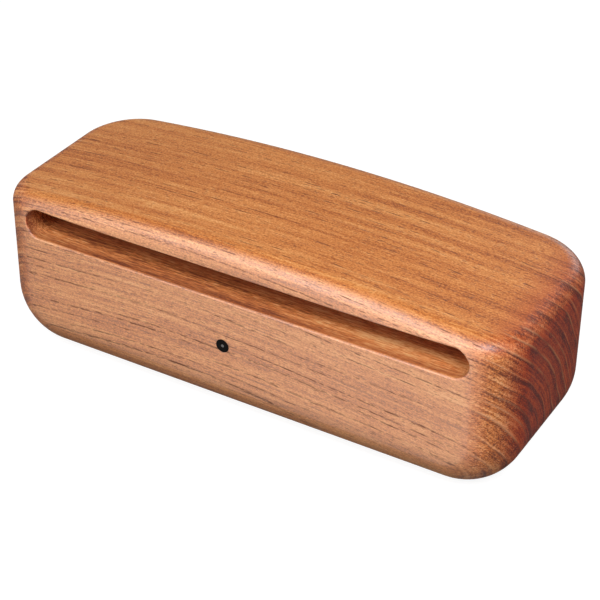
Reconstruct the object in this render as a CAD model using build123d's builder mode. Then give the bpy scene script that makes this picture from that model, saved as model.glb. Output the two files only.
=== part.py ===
from build123d import *
import os

os.makedirs("parts", exist_ok=True)

# Woodblock: one hardwood billet with a long sound slot in its front face,
# and an inlaid dot made of a black plug and a pale eye.
# Millimetres. X runs along the block, the slot opens towards -Y, Z is up.
# The origin is the middle of the flat bottom.

# Billet
block_length = 216.0
block_depth = 81.5
block_height = 74.0
# the striking surface falls by this much from mid-length to each end
crown_drop = 7.0
# round on the rim of the front face, down the ends and along the bottom
front_rim_radius = 19.5
# the same round on the back face
back_rim_radius = 23.0
# the lower corners, seen from the front, are rounder than the back rim by this much
corner_flare = 1.5
# round between the striking surface and the walls
top_rim_radius = 7.5

# Sound slot
slot_length = 185.5
slot_height = 12.0
slot_depth = 60.0
# wood left over the slot at mid-length
slot_lip = 9.5
# sanded round on the rim of the slot's mouth
slot_easing = 0.6
# the cutter starts this far in front of the face
cutter_lead = 1.0

# Inlaid dot
dot_diameter = 5.4
dot_depth = 4.0
dot_x = -5.0
dot_centre_height = 33.0
eye_diameter = 1.2
eye_depth = 2.0
# glue line round an inlaid piece
glue_gap = 0.05

# Worked out from the sizes above
half_length = block_length / 2
half_depth = block_depth / 2
end_height = block_height - crown_drop
slot_centre_height = block_height - slot_lip - slot_height / 2
lower_corner_radius = back_rim_radius + corner_flare
front_plane = Plane.XZ.offset(half_depth)
back_plane = Plane.XZ.offset(-half_depth)
cutter_plane = front_plane.offset(cutter_lead)
dot_seat_plane = front_plane.offset(-dot_depth)
eye_seat_plane = front_plane.offset(-eye_depth)
dot_centre = (dot_x, dot_centre_height)

# Block body: crowned front elevation, drawn through the depth, with all rims rounded
with BuildPart() as block_body:
    with BuildSketch(back_plane) as elevation:
        with BuildLine():
            Polyline(
                (-half_length, end_height),
                (-half_length, 0),
                (half_length, 0),
                (half_length, end_height),
            )
            Bezier(
                (half_length, end_height),
                (0, block_height + crown_drop),
                (-half_length, end_height),
            )
        make_face()
        fillet(elevation.vertices().group_by(Axis.Y)[0], lower_corner_radius)
    extrude(amount=block_depth)

    # the rims of the two faces: down one end, along the bottom, up the other end
    faces_by_depth = block_body.faces().sort_by(Axis.Y)
    front_rim = faces_by_depth[0].edges().sort_by(Axis.Z)[:-1]
    back_rim = faces_by_depth[-1].edges().sort_by(Axis.Z)[:-1]
    fillet(front_rim, front_rim_radius)
    fillet(back_rim, back_rim_radius)

    # the rim of the striking surface
    striking_surface = block_body.faces().sort_by(Axis.Z)[-1]
    fillet(striking_surface.edges(), top_rim_radius)

    # sound slot, milled from the front with a round cutter, its mouth eased by sanding
    billet = block_body.part
    with BuildPart(mode=Mode.PRIVATE) as slot_cut:
        with BuildSketch(cutter_plane):
            with Locations((0, slot_centre_height)):
                SlotOverall(slot_length, slot_height)
        extrude(amount=-(cutter_lead + slot_depth))
    add(slot_cut.part, mode=Mode.SUBTRACT)
    slot_mouth = new_edges(billet, slot_cut.part, combined=block_body.part)
    fillet(slot_mouth, slot_easing)

    # drilled pocket for the dot
    with BuildSketch(front_plane):
        with Locations(dot_centre):
            Circle(dot_diameter / 2 + glue_gap)
    extrude(amount=-dot_depth, mode=Mode.SUBTRACT)

# Dot plug: black rod, flush with the front face, drilled for the eye
with BuildPart() as dot_plug:
    with BuildSketch(dot_seat_plane):
        with Locations(dot_centre):
            Circle(dot_diameter / 2)
    extrude(amount=dot_depth)
    with BuildSketch(front_plane):
        with Locations(dot_centre):
            Circle(eye_diameter / 2 + glue_gap)
    extrude(amount=-eye_depth, mode=Mode.SUBTRACT)

# Dot eye: pale pin in the middle of the plug
with BuildPart() as dot_eye:
    with BuildSketch(eye_seat_plane):
        with Locations(dot_centre):
            Circle(eye_diameter / 2)
    extrude(amount=eye_depth)

block_body.part.label = "block_body"
dot_plug.part.label = "dot_plug"
dot_eye.part.label = "dot_eye"

export_step(block_body.part, "parts/block_body.step")
export_step(dot_plug.part, "parts/dot_plug.step")
export_step(dot_eye.part, "parts/dot_eye.step")
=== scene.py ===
import math

import bpy
from mathutils import Matrix, Vector

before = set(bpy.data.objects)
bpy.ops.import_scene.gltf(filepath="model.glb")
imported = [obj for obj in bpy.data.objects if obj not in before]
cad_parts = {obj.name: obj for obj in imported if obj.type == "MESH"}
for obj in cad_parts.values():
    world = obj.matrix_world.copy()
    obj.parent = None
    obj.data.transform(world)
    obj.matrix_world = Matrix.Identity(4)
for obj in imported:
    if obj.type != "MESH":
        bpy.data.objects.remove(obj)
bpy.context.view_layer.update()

MM = 0.001
scene = bpy.context.scene


def colour(red, green, blue):
    """A display colour, 0 to 255, as the linear RGBA that a shader socket takes."""
    linear = []
    for value in (red, green, blue):
        s = value / 255
        linear.append(s / 12.92 if s <= 0.04045 else ((s + 0.055) / 1.055) ** 2.4)
    return (*linear, 1.0)


class Graph:
    """A node tree and short ways to add linked nodes to it."""

    def __init__(self, tree):
        self.tree = tree

    def add(self, kind, *values, **settings):
        """A new node, with its first sockets filled in order."""
        node = self.tree.nodes.new("ShaderNode" + kind)
        for key, value in settings.items():
            setattr(node, key, value)
        for socket, value in zip(node.inputs, values):
            self.put(socket, value)
        return node

    def put(self, socket, value):
        if isinstance(value, bpy.types.NodeSocket):
            self.tree.links.new(value, socket)
        else:
            socket.default_value = value

    def math(self, operation, *values):
        return self.add("Math", *values, operation=operation).outputs[0]

    def plus(self, first, *others):
        for other in others:
            first = self.math("ADD", first, other)
        return first

    def minus(self, first, second):
        return self.math("SUBTRACT", first, second)

    def times(self, first, *others):
        for other in others:
            first = self.math("MULTIPLY", first, other)
        return first

    def most(self, first, second):
        return self.math("MAXIMUM", first, second)

    def size(self, value):
        return self.math("ABSOLUTE", value)

    def swing(self, value, weight):
        """A value from 0 to 1, centred on 0 and weighted."""
        return self.times(self.minus(value, 0.5), weight)

    def share(self, value, weight, least):
        """A share that goes up from its least with the value."""
        return self.plus(self.times(value, weight), least)

    def step(self, value, start, end, low=0.0, high=1.0):
        """Smooth change from low to high as value goes from start to end."""
        limits = (start, end, low, high)
        return self.add("MapRange", value, *limits, interpolation_type="SMOOTHSTEP").outputs[0]

    def fall(self, value, start, end):
        """Smooth change from 1 to 0 as value goes from start to end."""
        return self.step(value, start, end, 1.0, 0.0)

    def join(self, x, y, z):
        return self.add("CombineXYZ", x, y, z).outputs[0]

    def split(self, vector):
        return tuple(self.add("SeparateXYZ", vector).outputs)

    def shrink(self, vector, sizes):
        """A place measured in the given sizes, so that a pattern of unit scale has them."""
        factors = tuple(1 / size for size in sizes)
        return self.add("VectorMath", vector, factors, operation="MULTIPLY").outputs[0]

    def noise(self, vector, detail=1.0, roughness=0.5):
        node = self.add("TexNoise", noise_dimensions="3D")
        self.put(node.inputs["Vector"], vector)
        self.put(node.inputs["Scale"], 1.0)
        self.put(node.inputs["Detail"], detail)
        self.put(node.inputs["Roughness"], roughness)
        return node.outputs["Fac"]

    def cells(self, vector):
        """Distance to the nearest of scattered points, and that point's random value."""
        node = self.add("TexVoronoi", voronoi_dimensions="3D", feature="F1")
        self.put(node.inputs["Vector"], vector)
        self.put(node.inputs["Scale"], 1.0)
        return node.outputs["Distance"], self.split(node.outputs["Color"])[0]

    def bands(self, position):
        """Uneven bands along a line.

        Gives the distance to the nearest edge, the band's random value and the place across it.
        """
        edge = self.add("TexVoronoi", voronoi_dimensions="1D", feature="DISTANCE_TO_EDGE")
        tone = self.add("TexVoronoi", voronoi_dimensions="1D", feature="F1")
        for node in (edge, tone):
            self.put(node.inputs["W"], position)
            self.put(node.inputs["Scale"], 1.0)
        across = self.minus(position, tone.outputs["W"])
        return edge.outputs["Distance"], self.split(tone.outputs["Color"])[0], across

    def mix(self, factor, first, second, blend="MIX"):
        node = self.add("Mix", data_type="RGBA", blend_type=blend)
        self.put(node.inputs[0], factor)
        self.put(node.inputs[6], first)
        self.put(node.inputs[7], second)
        return node.outputs[2]

    def stain(self, body, tint):
        return self.mix(1.0, body, tint, "MULTIPLY")

    def ramp(self, factor, stops):
        node = self.add("ValToRGB", factor)
        elements = node.color_ramp.elements
        while len(elements) < len(stops):
            elements.new(0.5)
        for element, (position, value) in zip(elements, stops):
            element.position = position
            element.color = value
        return node.outputs[0]


class Look(Graph):
    """A material with a Principled shader."""

    def __init__(self, name):
        self.material = bpy.data.materials.new(name)
        self.material.use_nodes = True
        super().__init__(self.material.node_tree)
        self.shader = self.tree.nodes["Principled BSDF"]

    def set(self, socket, value):
        self.put(self.shader.inputs[socket], value)


# Wood of the block: a solid texture in millimetres, with the grain along X.
# The pith lies below and in front of the block, so rings cross its ends on a slant.
PITH_Y = -127.0
PITH_Z = -34.0
RING_PITCH = 4.8
RING_SHIFT = 3.0
RING_WOBBLE = 6.0
# veins follow rings of their own
VEIN_PITCH = 2.3
VEIN_SHIFT = 31.7
# the log's slight bow, in millimetres sideways and down per square millimetre along the grain
BEND_Y = 0.0003
BEND_Z = 0.0006
BEND_SHIFT = 25.0
# direction of the rings where they cross an end
ALONG_RING_Y = -0.49
ALONG_RING_Z = 0.87

# Slot in the front face, as in the CAD
FRONT_Y = -40.75
SLOT_Z = 58.5
SLOT_HALF_HEIGHT = 6.0
SLOT_HALF_LENGTH = 92.75
SLOT_DEPTH = 60.0

# Sizes of the grain's features: along the fibres, across them, and a shift that
# keeps their patterns apart
WOBBLE_Y_SIZE = (120, 30, 0.0)
WOBBLE_Z_SIZE = (120, 30, 7.3)
STREAK_SIZE = (160, 4.2, 0.0)
FIBRE_SIZE = (40, 0.70, 0.0)
THREAD_SIZE = (6, 0.50, 2.9)
SPECK_SIZE = (0.8, 0.45, 4.3)
SILK_SIZE = (70, 0.9, 9.4)
DASH_SIZE = (3, 0.6, 1.7)
LONG_PORE_SIZE = (12, 0.62, 0.0)
PORE_SIZE = (6, 0.60, 8.1)
FINE_PORE_SIZE = (3, 0.50, 5.7)
DOT_SIZE = (2.4, 0.70, 3.1)
GRIT_SIZE = (2.0, 0.70, 6.6)
# along X, across the rings and along them
LAYER_SIZE = (60, 0.8, 16)
# along X and across the rings
ZONE_SIZE = (300, 9, 9)
RUN_SIZE = (80, 3, 3)
# along X, Y and Z
GAP_SIZE = (14, 14, 14)
FUR_SIZE = (6.0, 0.6, 0.6)

# Roughness of a noise's finer detail
CRISP = 0.6
FURRY = 0.9

# Share of each feature in the tone, which runs from dark at 0 to pale at 1
MEAN_TONE = 0.55
RING_WEIGHT = 0.06
STREAK_WEIGHT = 0.62
FIBRE_WEIGHT = 0.36
THREAD_WEIGHT = 0.24
SPECK_WEIGHT = 0.80
FINE_GAIN = 0.40
LAYER_WEIGHT = 1.30
SILK_WEIGHT = 0.80
ZONE_END_WEIGHT = 0.50
ZONE_WEIGHT = 0.15
LATE_END_WEIGHT = 0.22
LATE_WEIGHT = 0.04
FUR_WEIGHT = 2.0
RAW_STREAK_WEIGHT = 0.8

# Colours along the tone, for the lacquered faces and for the bare cut inside the slot
BODY_STOPS = (
    (0.18, colour(116, 54, 18)),
    (0.40, colour(180, 100, 42)),
    (0.53, colour(203, 123, 58)),
    (0.70, colour(220, 147, 80)),
    (0.88, colour(238, 178, 116)),
)
RAW_STOPS = (
    (0.10, colour(124, 52, 14)),
    (0.50, colour(228, 138, 68)),
    (0.90, colour(255, 205, 140)),
)
# painted sheen: a pale reflection painted on the front and back
SIDE_PAINTED_SHEEN = colour(243, 189, 161)
VEIN_BROWN = colour(104, 52, 24)
PORE_BROWN = colour(92, 42, 15)
FINE_PORE_BROWN = colour(104, 54, 27)
DOT_BROWN = colour(104, 46, 18)
CUT_TINT = colour(255, 244, 250)
# the end grain's own darker red, deepened further as painted shade on the ends
END_AND_SHADE_TINT = colour(206, 117, 58)
GRIT_PALE = colour(230, 166, 120)
GRIT_END_PALE = colour(196, 116, 72)
RING_PALE = colour(232, 172, 126)
RING_END_PALE = colour(206, 136, 86)
MOUTH_SHADE_TINT = colour(184, 162, 142)
DEEP_SHADE_TINT = colour(223, 192, 187)

# Opacity of what is laid over the tone
VEIN_SIDE_SHARE = 0.55
VEIN_SHARE = 0.14
PORE_SHARE = 0.78
FINE_PORE_SHARE = 0.50
DOT_SHARE = 0.45
GRIT_SHARE = 0.40
RING_PALE_END_SHARE = 0.42
RING_PALE_SHARE = 0.06
RAW_SHARE = 0.9

# Reach of the pores, as shares of their cells
LONG_PORE_REACH = 0.17
PORE_REACH = 0.20
VEIN_PORE_REACH = 0.28
FINE_PORE_REACH = 0.34
DOT_REACH = 0.42
GRIT_REACH = 0.42

# Finish
LACQUER_ROUGHNESS = 0.37
FIBRE_ROUGHNESS = 0.16
END_ROUGHNESS = 0.48
OPEN_ROUGHNESS = 0.30
LACQUER_SPECULAR = 0.8
FIBRE_HEIGHT = 0.3
FINE_PORE_HEIGHT = 0.5
BUMP_STRENGTH = 0.3
BUMP_DISTANCE = 0.12 * MM

# Ranges over which a feature sets in or fades: start and end, then the values there
# where they aren't 0 and 1.
# By how far the surface faces an end, the front or back, or up
END_FACING = (0.66, 1.02)
CUT_FACING = (0.08, 0.45)
LATE_FACING = (0.05, 0.6)
LINE_FACING = (0.10, 0.50)
DULL_FACING = (0.55, 0.95, 0.0, END_ROUGHNESS)
SIDE_FACING = (0.30, 0.92)
SIDE_END_FACING = (0.10, 0.65)
SIDE_UP = (-0.60, 0.0)
RIM_FACING = (0.20, 0.55)
RIM_UP = (0.15, 0.50)
PAINTED_SHADE_UP = (0.10, 0.60)
# by the place along the block
# painted shade on the striking surface near the right end
PAINTED_SHADE_X = (88.0, 106.0, 0.0, 0.60)
RIM_X = (-60.0, 60.0, 1.0, 0.45)
SIDE_SHEEN_X = (-100.0, 60.0, 0.30, 0.41)
RAW_SHADE_X = (-95.0, 95.0, 0.41, 0.54)
# by the place from the front face inwards
FLAT_FRONT_Y = (FRONT_Y + 0.7, FRONT_Y + 1.1)
MOUTH_Y = (FRONT_Y + 0.9, FRONT_Y + 1.6)
MOUTH_SHADE_Y = (FRONT_Y + 1.0, FRONT_Y + 9.0)
DEEP_SHADE_Y = (FRONT_Y + 8.0, FRONT_Y + 16.5)
SLOT_FLOOR_Y = (FRONT_Y + SLOT_DEPTH + 0.5, FRONT_Y + SLOT_DEPTH + 1.0)
# by the distance from the slot's middle
SLOT_WALL_Z = (SLOT_HALF_HEIGHT + 0.05, SLOT_HALF_HEIGHT + 0.2)
SLOT_END_X = (SLOT_HALF_LENGTH + 0.1, SLOT_HALF_LENGTH + 0.5)
# by the value of a pattern
LATE_PLACE = (-0.20, 0.45)
VEIN_WIDTH = (0.03, 0.16)
RUN_NOISE = (0.40, 0.54)
DASH_NOISE = (0.42, 0.56)
PORE_EDGE = (-0.06, 0.03)
LINE_WIDTH = (0.0, 0.14)
LINE_TONE = (0.10, 0.45)
GAP_NOISE = (0.36, 0.58, 0.25, 1.0)


class Wood(Look):
    """Open-pored hardwood, cut by the faces of the block and by its slot."""

    def __init__(self, name):
        super().__init__(name)
        place = self.add("VectorMath", self.add("TexCoord").outputs["Object"], operation="SCALE")
        place.inputs["Scale"].default_value = 1 / MM
        self.place = place.outputs[0]
        self.x, self.y, self.z = self.split(self.place)
        self.bend_fibres()
        self.lay_rings()
        self.read_facing()
        body = self.tone_colour()
        body = self.add_veins(body)
        body = self.add_pores(body)
        body = self.darken_ends(body)
        body = self.add_ring_lines(body)
        body = self.bare_slot(body)
        self.set("Base Color", body)
        self.set_finish()

    def bend_fibres(self):
        """The fibres bow a little along the block."""
        shifted = self.plus(self.x, BEND_SHIFT)
        bow = self.times(shifted, shifted)
        self.bent_y = self.minus(self.y, self.times(bow, BEND_Y))
        self.bent_z = self.plus(self.z, self.times(bow, BEND_Z))
        self.bent = self.join(self.x, self.bent_y, self.bent_z)

    def stretched(self, along, across, shift):
        """The place in a pattern that is stretched along the fibres."""
        scaled = self.shrink(self.bent, (along, across, across))
        shifts = (shift, shift, shift)
        return self.add("VectorMath", scaled, shifts, operation="ADD").outputs[0]

    def grain(self, size, detail=1.0):
        return self.noise(self.stretched(*size), detail, CRISP)

    def lay_rings(self):
        """Growth rings with a slow wobble along the grain, and the rings that veins follow."""
        wobble_y = self.swing(self.noise(self.stretched(*WOBBLE_Y_SIZE)), RING_WOBBLE)
        wobble_z = self.swing(self.noise(self.stretched(*WOBBLE_Z_SIZE)), RING_WOBBLE)

        def distance(y, z):
            ring_y = self.plus(wobble_y, self.minus(y, PITH_Y))
            ring_z = self.plus(wobble_z, self.minus(z, PITH_Z))
            squares = self.plus(self.times(ring_y, ring_y), self.times(ring_z, ring_z))
            return self.math("SQRT", squares)

        self.radius = self.plus(distance(self.bent_y, self.bent_z), RING_SHIFT)
        rings = self.bands(self.math("DIVIDE", self.radius, RING_PITCH))
        self.ring_edge, self.ring_tone, self.ring_place = rings
        self.vein_radius = distance(self.y, self.bent_z)
        vein_place = self.plus(self.math("DIVIDE", self.vein_radius, VEIN_PITCH), VEIN_SHIFT)
        self.vein_edge = self.bands(vein_place)[0]

    def read_facing(self):
        """How the surface lies to the fibres, from its normal."""
        normal = self.add("NewGeometry").outputs["Normal"]
        normal_x, normal_y, normal_z = self.split(normal)
        facing_end = self.facing_end = self.size(normal_x)
        facing_side = self.size(normal_y)
        # end grain, and painted shade on the striking surface near the right end, which gets the
        # end grain's darker colour
        painted_shade = self.times(self.step(self.x, *PAINTED_SHADE_X), self.step(normal_z, *PAINTED_SHADE_UP))
        self.end = self.most(self.step(facing_end, *END_FACING), painted_shade)
        # front and back, down to where they roll under, and all of the flat front
        side = self.times(
            self.step(facing_side, *SIDE_FACING),
            self.step(normal_z, *SIDE_UP),
            self.fall(facing_end, *SIDE_END_FACING),
        )
        self.side = self.most(side, self.fall(self.y, *FLAT_FRONT_Y))
        # any surface that cuts across the fibres, and the rims along the striking surface
        self.cut_across = self.step(facing_end, *CUT_FACING)
        rim = self.times(
            self.step(facing_side, *RIM_FACING),
            self.step(normal_z, *RIM_UP),
            self.step(self.x, *RIM_X),
        )
        self.dotted = self.most(self.cut_across, rim)

    def tone_colour(self):
        """Rings, streaks and fine fibres, and a painted sheen that makes the front and back paler.
        """
        self.streak = self.grain(STREAK_SIZE, detail=2.0)
        self.fibre = self.grain(FIBRE_SIZE)
        tone = self.plus(
            self.swing(self.ring_tone, RING_WEIGHT), self.swing(self.streak, STREAK_WEIGHT)
        )
        fine = self.plus(
            self.swing(self.fibre, FIBRE_WEIGHT),
            self.swing(self.grain(THREAD_SIZE), THREAD_WEIGHT),
            self.swing(self.grain(SPECK_SIZE), SPECK_WEIGHT),
        )
        gain = self.share(self.most(self.cut_across, self.side), FINE_GAIN, 1.0)
        tone = self.plus(tone, self.times(fine, gain))

        # fine layers along the rings, which show where the fibres are cut across
        along_ring = self.plus(self.times(self.y, ALONG_RING_Y), self.times(self.z, ALONG_RING_Z))
        layer_place = self.join(self.x, self.radius, along_ring)
        layer = self.noise(self.shrink(layer_place, LAYER_SIZE), detail=2.0, roughness=CRISP)
        tone = self.plus(tone, self.times(self.swing(layer, LAYER_WEIGHT), self.cut_across))

        # silky lines on the front and back
        silk = self.swing(self.grain(SILK_SIZE), SILK_WEIGHT)
        tone = self.plus(tone, self.times(silk, self.side))

        # paler and darker groups of rings, and the dark late wood of each ring
        zone_place = self.join(self.x, self.radius, self.radius)
        zone = self.noise(self.shrink(zone_place, ZONE_SIZE))
        zone_share = self.share(self.end, ZONE_END_WEIGHT, ZONE_WEIGHT)
        tone = self.plus(tone, self.swing(zone, zone_share))
        late_facing = self.step(self.facing_end, *LATE_FACING)
        late_share = self.share(late_facing, LATE_END_WEIGHT, LATE_WEIGHT)
        late = self.times(self.step(self.ring_place, *LATE_PLACE), late_share)
        body = self.ramp(self.plus(self.minus(tone, late), MEAN_TONE), BODY_STOPS)

        # painted sheen on the front and back, stronger towards the right
        sheen_share = self.times(self.side, self.step(self.x, *SIDE_SHEEN_X))
        return self.mix(sheen_share, body, SIDE_PAINTED_SHEEN)

    def add_veins(self, body):
        """Dark broken veins along the faces."""
        run_place = self.join(self.x, self.vein_radius, self.vein_radius)
        run = self.noise(self.shrink(run_place, RUN_SIZE))
        line = self.fall(self.vein_edge, *VEIN_WIDTH)
        self.row = self.times(line, self.step(run, *RUN_NOISE))
        dash = self.step(self.noise(self.stretched(*DASH_SIZE)), *DASH_NOISE)
        share = self.share(self.side, VEIN_SIDE_SHARE, VEIN_SHARE)
        vein = self.times(self.row, dash, share, self.minus(1.0, self.end))
        return self.mix(vein, body, VEIN_BROWN)

    def pores(self, size, reach):
        distance, spread = self.cells(self.stretched(*size))
        return self.fall(self.minus(distance, self.times(spread, reach)), *PORE_EDGE)

    def add_pores(self, body):
        """Open pores: dark hairlines along the grain, wider along the veins, dots across it."""
        opened = self.times(self.row, VEIN_PORE_REACH)
        long_pore = self.pores(LONG_PORE_SIZE, self.plus(opened, LONG_PORE_REACH))
        pore = self.pores(PORE_SIZE, self.plus(opened, PORE_REACH))
        self.pore = self.most(pore, long_pore)
        self.fine_pore = self.pores(FINE_PORE_SIZE, FINE_PORE_REACH)
        dot = self.pores(DOT_SIZE, self.times(self.dotted, DOT_REACH))
        body = self.mix(self.times(self.fine_pore, FINE_PORE_SHARE), body, FINE_PORE_BROWN)
        body = self.mix(self.times(dot, DOT_SHARE), body, DOT_BROWN)
        return self.mix(self.times(self.pore, PORE_SHARE), body, PORE_BROWN)

    def darken_ends(self, body):
        """End grain drinks more finish, reddens and darkens, with paler grit between its pores.
        The darkening also paints the shade the right end lies in, and the painted shade near the
        right end of the striking surface.
        """
        body = self.mix(self.cut_across, body, self.stain(body, CUT_TINT))
        body = self.mix(self.end, body, self.stain(body, END_AND_SHADE_TINT))
        grit = self.pores(GRIT_SIZE, self.times(self.cut_across, GRIT_REACH))
        grit_pale = self.mix(self.end, GRIT_PALE, GRIT_END_PALE)
        return self.mix(self.times(grit, GRIT_SHARE), body, grit_pale)

    def add_ring_lines(self, body):
        """Thin pale lines between some rings, broken in places."""
        edge = self.fall(self.ring_edge, *LINE_WIDTH)
        line = self.times(edge, self.step(self.ring_tone, *LINE_TONE))
        across = self.step(self.facing_end, *LINE_FACING)
        share = self.share(across, RING_PALE_END_SHARE, RING_PALE_SHARE)
        gap = self.noise(self.shrink(self.place, GAP_SIZE))
        share = self.times(share, self.step(gap, *GAP_NOISE))
        line_pale = self.mix(self.end, RING_PALE, RING_END_PALE)
        return self.mix(self.times(line, share), body, line_pale)

    def bare_slot(self, body):
        """The bare cut inside the slot: furred, with painted shade that darkens it towards the
        left, near the mouth and deeper in.
        """
        self.slot = self.times(
            self.step(self.y, *MOUTH_Y),
            self.fall(self.size(self.minus(self.z, SLOT_Z)), *SLOT_WALL_Z),
            self.fall(self.size(self.x), *SLOT_END_X),
            self.fall(self.y, *SLOT_FLOOR_Y),
        )
        fur = self.noise(self.shrink(self.place, FUR_SIZE), detail=2.0, roughness=FURRY)
        # painted shade: the bare cut's tone falls towards the left end of the slot
        tone = self.plus(
            self.swing(fur, FUR_WEIGHT),
            self.swing(self.streak, RAW_STREAK_WEIGHT),
            self.step(self.x, *RAW_SHADE_X),
        )
        raw = self.ramp(tone, RAW_STOPS)
        # painted shade near the mouth and deeper in the slot
        mouth_shade = self.stain(raw, MOUTH_SHADE_TINT)
        deep_shade = self.stain(raw, DEEP_SHADE_TINT)
        inner = self.mix(self.step(self.y, *DEEP_SHADE_Y), raw, deep_shade)
        cut = self.mix(self.step(self.y, *MOUTH_SHADE_Y), mouth_shade, inner)
        return self.mix(self.times(self.slot, RAW_SHARE), body, cut)

    def set_finish(self):
        """Satin lacquer, duller on the end grain, in the pores and inside the slot."""
        lacquer = self.share(self.fibre, FIBRE_ROUGHNESS, LACQUER_ROUGHNESS)
        end_dull = self.step(self.facing_end, *DULL_FACING)
        dull = self.most(end_dull, self.times(self.most(self.pore, self.slot), OPEN_ROUGHNESS))
        self.set("Roughness", self.plus(lacquer, dull))
        self.set("Specular IOR Level", LACQUER_SPECULAR)

        pit = self.most(self.pore, self.times(self.fine_pore, FINE_PORE_HEIGHT))
        bump = self.add("Bump")
        self.put(bump.inputs["Height"], self.minus(self.times(self.fibre, FIBRE_HEIGHT), pit))
        self.put(bump.inputs["Strength"], BUMP_STRENGTH)
        self.put(bump.inputs["Distance"], BUMP_DISTANCE)
        self.set("Normal", bump.outputs[0])


# Inlays: sanded, with a fine fleck in the colour and the sheen
FLECK_SIZE = (0.25 * MM, 0.25 * MM, 0.25 * MM)
DARK_FLECK = 0.3
LIGHT_FLECK = 0.7
INLAY_ROUGHNESS = 0.35
FLECK_ROUGHNESS = 0.2
INLAY_SPECULAR = 0.12


def inlay(name, dark, light):
    look = Look(name)
    place = look.add("TexCoord").outputs["Object"]
    fleck = look.noise(look.shrink(place, FLECK_SIZE), detail=3.0, roughness=CRISP)
    look.set("Base Color", look.ramp(fleck, ((DARK_FLECK, dark), (LIGHT_FLECK, light))))
    look.set("Roughness", look.share(fleck, FLECK_ROUGHNESS, INLAY_ROUGHNESS))
    look.set("Specular IOR Level", INLAY_SPECULAR)
    return look


looks = {
    "block_body": Wood("hardwood"),
    "dot_plug": inlay("black_inlay", colour(7, 6, 6), colour(20, 17, 16)),
    # the pale eye at the dot's centre is a painted highlight on the black dot
    "dot_eye": inlay("pale_inlay", colour(92, 90, 90), colour(140, 137, 134)),
}
for name, look in looks.items():
    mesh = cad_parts[name].data
    mesh.materials.clear()
    mesh.materials.append(look.material)

# Floor: plain white to the camera, but for the block's shadow. In reflections it is
# dimmer, and darker near the block.
FLOOR_REACH = 4.0
FLOOR_GREY = colour(128, 128, 128)
FLOOR_ROUGHNESS = 0.9
FLOOR_GLOW = 0.90
MIRROR_SHARE = 0.10
SHADE_REACH = 0.28
SHADE_POWER = 3.0
SHADE_SAMPLES = 8

floor_mesh = bpy.data.meshes.new("floor")
corners = [(-1, -1), (1, -1), (1, 1), (-1, 1)]
floor_mesh.from_pydata(
    [(x * FLOOR_REACH, y * FLOOR_REACH, 0) for x, y in corners], [], [(0, 1, 2, 3)]
)
floor = bpy.data.objects.new("floor", floor_mesh)
scene.collection.objects.link(floor)
ground = Look("floor")
ground.set("Base Color", FLOOR_GREY)
ground.set("Roughness", FLOOR_ROUGHNESS)
rays = ground.add("LightPath").outputs
shade = ground.add("AmbientOcclusion", samples=SHADE_SAMPLES)
ground.put(shade.inputs["Distance"], SHADE_REACH)
open_sky = ground.math("POWER", shade.outputs["AO"], SHADE_POWER)
mirrored = ground.most(rays["Is Glossy Ray"], rays["Is Transmission Ray"])
mirrored = ground.times(mirrored, MIRROR_SHARE, open_sky)
seen = ground.most(rays["Is Camera Ray"], mirrored)
glow = ground.add("Emission")
ground.put(glow.inputs["Strength"], ground.times(seen, FLOOR_GLOW))
both = ground.add("AddShader", ground.shader.outputs[0], glow.outputs[0])
ground.put(ground.tree.nodes["Material Output"].inputs["Surface"], both.outputs[0])
floor_mesh.materials.append(ground.material)

# World: a pale sweep at the horizon under a dimmer room, darker on the right.
# The camera sees plain white behind the floor. A fade is a start and an end in the
# direction's own part, and the brightness there.
WHITE = (1, 1, 1, 1)
UPWARD_FADE = (0.10, 0.62, 0.42, 0.15)
RIGHTWARD_FADE = (0.05, 0.75, 1.0, 0.22)

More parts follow.
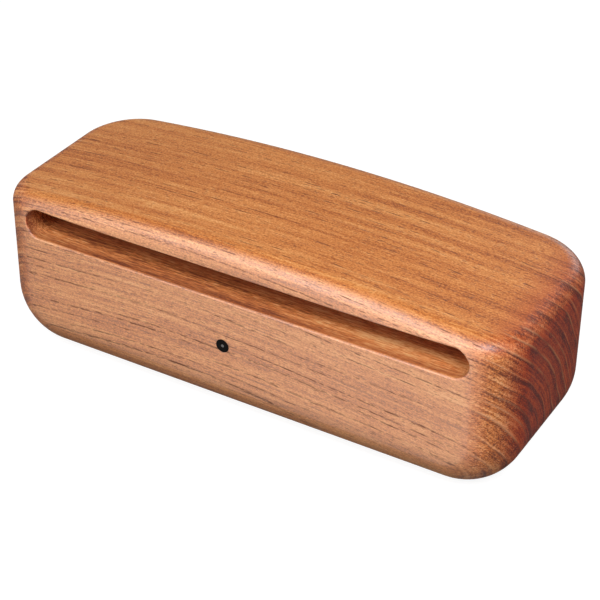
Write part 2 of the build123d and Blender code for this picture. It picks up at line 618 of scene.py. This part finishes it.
world = bpy.data.worlds.new("studio")
scene.world = world
world.use_nodes = True
sky = Graph(world.node_tree)
rightward, _, upward = sky.split(sky.add("TexCoord").outputs["Generated"])
room = sky.times(sky.step(upward, *UPWARD_FADE), sky.step(rightward, *RIGHTWARD_FADE))
backdrop = sky.tree.nodes["Background"]
sky.put(
    backdrop.inputs["Strength"],
    sky.most(room, sky.add("LightPath").outputs["Is Camera Ray"]),
)
sky.put(backdrop.inputs["Color"], WHITE)

# Lamps, in metres
LAMP_AIM = Vector((0, 0, 0.04))


def softbox(name, direction, distance, width, height, watts):
    data = bpy.data.lights.new(name, "AREA")
    data.shape = "RECTANGLE"
    data.size = width
    data.size_y = height
    data.energy = watts
    lamp = bpy.data.objects.new(name, data)
    scene.collection.objects.link(lamp)
    towards = Vector(direction).normalized()
    lamp.location = LAMP_AIM + towards * distance
    lamp.rotation_mode = "QUATERNION"
    lamp.rotation_quaternion = towards.to_track_quat("Z", "Y")


softbox("front", (-0.26, -0.67, 0.69), distance=1.0, width=0.38, height=0.72, watts=6.4)
softbox("back", (0.10, 0.95, 0.26), distance=1.1, width=0.60, height=0.30, watts=2.2)
softbox("right", (0.55, -0.47, 0.69), distance=0.6, width=0.18, height=0.18, watts=2.3)

# Camera, in degrees and metres
AZIMUTH = 30.099
ELEVATION = 33.318
ROLL = -0.569
AIM = Vector((0, 0, 37.0)) * MM
DISTANCE = 697.34 * MM
ASIDE = -3.312 * MM
ABOVE = 4.350 * MM
LENS = 110.66
SENSOR_WIDTH = 36.0
CLIP_START = 0.01
CLIP_END = 50.0

turn, rise, roll = (math.radians(angle) for angle in (AZIMUTH, ELEVATION, ROLL))
back = Vector(
    (math.sin(turn) * math.cos(rise), -math.cos(turn) * math.cos(rise), math.sin(rise))
)
level = Vector((math.cos(turn), math.sin(turn), 0))
upright = back.cross(level)
right = level * math.cos(roll) - upright * math.sin(roll)
up = level * math.sin(roll) + upright * math.cos(roll)
camera_data = bpy.data.cameras.new("camera")
camera_data.lens = LENS
camera_data.sensor_width = SENSOR_WIDTH
camera_data.clip_start = CLIP_START
camera_data.clip_end = CLIP_END
camera = bpy.data.objects.new("camera", camera_data)
scene.collection.objects.link(camera)
spot = AIM + back * DISTANCE - right * ASIDE - up * ABOVE
turned = Matrix((right, up, back)).transposed().to_4x4()
camera.matrix_world = Matrix.Translation(spot) @ turned
scene.camera = camera

scene.view_settings.view_transform = "Standard"
